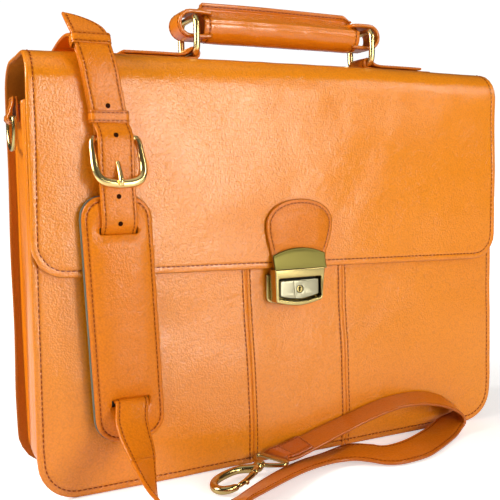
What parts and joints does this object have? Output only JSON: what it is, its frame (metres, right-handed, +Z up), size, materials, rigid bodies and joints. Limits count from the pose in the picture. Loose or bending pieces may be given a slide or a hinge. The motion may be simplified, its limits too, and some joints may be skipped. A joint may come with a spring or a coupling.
{
  "type": "leather briefcase",
  "caption": "Tan leather satchel briefcase with a fold-over flap, tuck lock, ring-hung carrying handle, gusseted compartments and a buckled shoulder strap with pad and snap hooks.",
  "frame": {"origin": "centre of the flat underside of the case, on the surface it stands on", "axes": "+X along the case's width, -Y out of the front with the lock, +Z up through the handle"},
  "size_m": [0.4306, 0.2355, 0.371],
  "materials": {
    "leather_tan": "bright tan saddle leather, fine pebble grain, glossy finish",
    "leather_edge": "tan leather used for gussets, tabs and keepers, edges dyed",
    "leather_suede": "natural flesh side, matt",
    "pad_backing": "dark grey-green non-slip backing, matt",
    "lining_cloth": "brown cotton lining, matt",
    "brass": "polished antique brass, lightly worn",
    "brass_satin": "pale champagne satin brass",
    "steel": "plain steel, hidden"
  },
  "bodies": {
    "case": {"back_panel": "leather_tan", "front_panel_left": "leather_tan", "front_panel_centre": "leather_tan", "front_panel_right": "leather_tan", "gusset_left": "leather_edge", "gusset_right": "leather_edge", "bottom_panel": "leather_edge", "lining_front": "lining_cloth", "lining_back": "lining_cloth", "divider_front": "leather_suede", "divider_rear": "leather_suede", "inner_pocket": "leather_suede", "dring_tab_left": "leather_edge", "dring_tab_right": "leather_edge", "lock_base_plate": "brass", "lock_body": "brass_satin", "lock_back_plate": "steel", "lock_screw_left": "steel", "lock_screw_right": "steel", "latch_spring": "steel", "strap_short_rear": "leather_tan", "hook2_eye": "brass"},
    "dring_left": {"dring_left": "brass"},
    "dring_right": {"dring_right": "brass"},
    "lock_push": {"lock_push_plate": "brass_satin"},
    "lock_key": {"lock_cylinder": "brass"},
    "latch": {"latch_bolt": "steel"},
    "flap_top": {"flap_top": "leather_tan", "handle_strap_left": "leather_tan", "handle_strap_right": "leather_tan", "strap_short_top": "leather_tan", "strap_long_top": "leather_tan", "keeper_upper": "leather_edge"},
    "flap_front": {"flap_front": "leather_tan", "lock_tongue": "leather_tan", "hasp_plate": "brass", "hasp_frame": "brass", "hasp_back_plate": "steel", "hasp_screw_left": "steel", "hasp_screw_right": "steel", "strap_short_front": "leather_tan", "keeper_lower": "leather_edge", "strap_long_front": "leather_tan", "pad_face": "leather_tan", "pad_backing": "pad_backing"},
    "buckle": {"buckle_frame": "brass"},
    "prong": {"buckle_prong": "brass"},
    "ring_left": {"handle_ring_left": "brass"},
    "ring_right": {"handle_ring_right": "brass"},
    "handle": {"handle_grip": "leather_tan", "handle_core": "lining_cloth", "handle_loop_left": "leather_edge", "handle_loop_right": "leather_edge"},
    "strap_link": {"strap_link": "leather_tan"},
    "strap_tail": {"strap_tail": "leather_tan", "hook1_eye": "brass"},
    "hook_1": {"hook1_body": "brass"},
    "gate_1": {"hook1_gate": "brass"},
    "hook_2": {"hook2_body": "brass"},
    "gate_2": {"hook2_gate": "brass"}
  },
  "joints": [
    {"name": "flap_hinge", "type": "hinge", "parent": "case", "child": "flap_top", "pos_m": [0, 0.045, 0.3], "axis": [-1, 0, 0], "range_deg": [0, 95]},
    {"name": "flap_front_fold", "type": "hinge", "parent": "flap_top", "child": "flap_front", "pos_m": [0, -0.049, 0.296], "axis": [-1, 0, 0], "range_deg": [0, 50]},
    {"name": "dring_left_swing", "type": "hinge", "parent": "case", "child": "dring_left", "pos_m": [-0.211, 0.005, 0.277], "axis": [0, 1, 0], "range_deg": [0, 95]},
    {"name": "dring_right_swing", "type": "hinge", "parent": "case", "child": "dring_right", "pos_m": [0.211, 0.005, 0.277], "axis": [0, -1, 0], "range_deg": [0, 95]},
    {"name": "lock_press", "type": "slide", "parent": "case", "child": "lock_push", "axis": [0, 1, 0], "range_m": [0, 0.002]},
    {"name": "key_turn", "type": "hinge", "parent": "lock_push", "child": "lock_key", "pos_m": [-0.003, -0.0539, 0.1415], "axis": [0, -1, 0], "range_deg": [0, 90]},
    {"name": "latch_slide", "type": "slide", "parent": "case", "child": "latch", "axis": [0, 0, -1], "range_m": [0, 0.002], "deforming": ["latch_spring"]},
    {"name": "prong_lift", "type": "hinge", "parent": "flap_front", "child": "prong", "pos_m": [-0.151, -0.0534, 0.26], "axis": [-1, 0, 0], "range_deg": [0, 8]},
    {"name": "buckle_tilt", "type": "hinge", "parent": "flap_front", "child": "buckle", "pos_m": [-0.15, -0.0534, 0.26], "axis": [-1, 0, 0], "range_deg": [0, 5]},
    {"name": "handle_swing", "type": "hinge", "parent": "flap_top", "child": "ring_left", "pos_m": [-0.073, -0.005, 0.329], "axis": [0, 1, 0], "range_deg": [-28, 28]},
    {"name": "handle_level", "type": "hinge", "parent": "ring_left", "child": "handle", "pos_m": [-0.073, -0.005, 0.356], "axis": [0, 1, 0], "range_deg": [-28, 28]},
    {"name": "ring_right_swing", "type": "hinge", "parent": "flap_top", "child": "ring_right", "pos_m": [0.091, -0.005, 0.329], "axis": [0, 1, 0], "range_deg": [-28, 28]},
    {"name": "strap_link_hang", "type": "hinge", "parent": "flap_front", "child": "strap_link", "pos_m": [-0.1446, -0.0863, 0.0404], "axis": [-1, 0, 0], "range_deg": [-95, 0]},
    {"name": "strap_tail_hang", "type": "hinge", "parent": "strap_link", "child": "strap_tail", "pos_m": [-0.145, -0.0993, 0.0336], "axis": [-1, 0, 0], "range_deg": [-50, 0]},
    {"name": "hook1_swivel", "type": "hinge", "parent": "strap_tail", "child": "hook_1", "pos_m": [-0.04567, -0.06585, 0.00787], "axis": [-0.9244, -0.3763, -0.062], "range_deg": [-10, 10]},
    {"name": "gate1_open", "type": "hinge", "parent": "hook_1", "child": "gate_1", "pos_m": [-0.05768, -0.07657, 0.00693], "axis": [0.0574, 0.0234, -0.9981], "range_deg": [0, 22], "stiffness_Nm_per_rad": 0.02},
    {"name": "hook2_swivel", "type": "hinge", "parent": "case", "child": "hook_2", "pos_m": [-0.16, 0.059, 0.1946], "axis": [0, 0, -1], "continuous": true},
    {"name": "gate2_open", "type": "hinge", "parent": "hook_2", "child": "gate_2", "pos_m": [-0.1546, 0.059, 0.1794], "axis": [0, 1, 0], "range_deg": [0, 22], "stiffness_Nm_per_rad": 0.02}
  ],
  "couplings": [
    {"joint": "latch_slide", "follows": "lock_press", "ratio": 1},
    {"joint": "buckle_tilt", "follows": "prong_lift", "ratio": 0.6},
    {"joint": "handle_level", "follows": "handle_swing", "ratio": -1},
    {"joint": "ring_right_swing", "follows": "handle_swing", "ratio": 1},
    {"joint": "strap_link_hang", "follows": "flap_hinge", "ratio": -1},
    {"joint": "strap_tail_hang", "follows": "flap_front_fold", "ratio": -1}
  ]
}
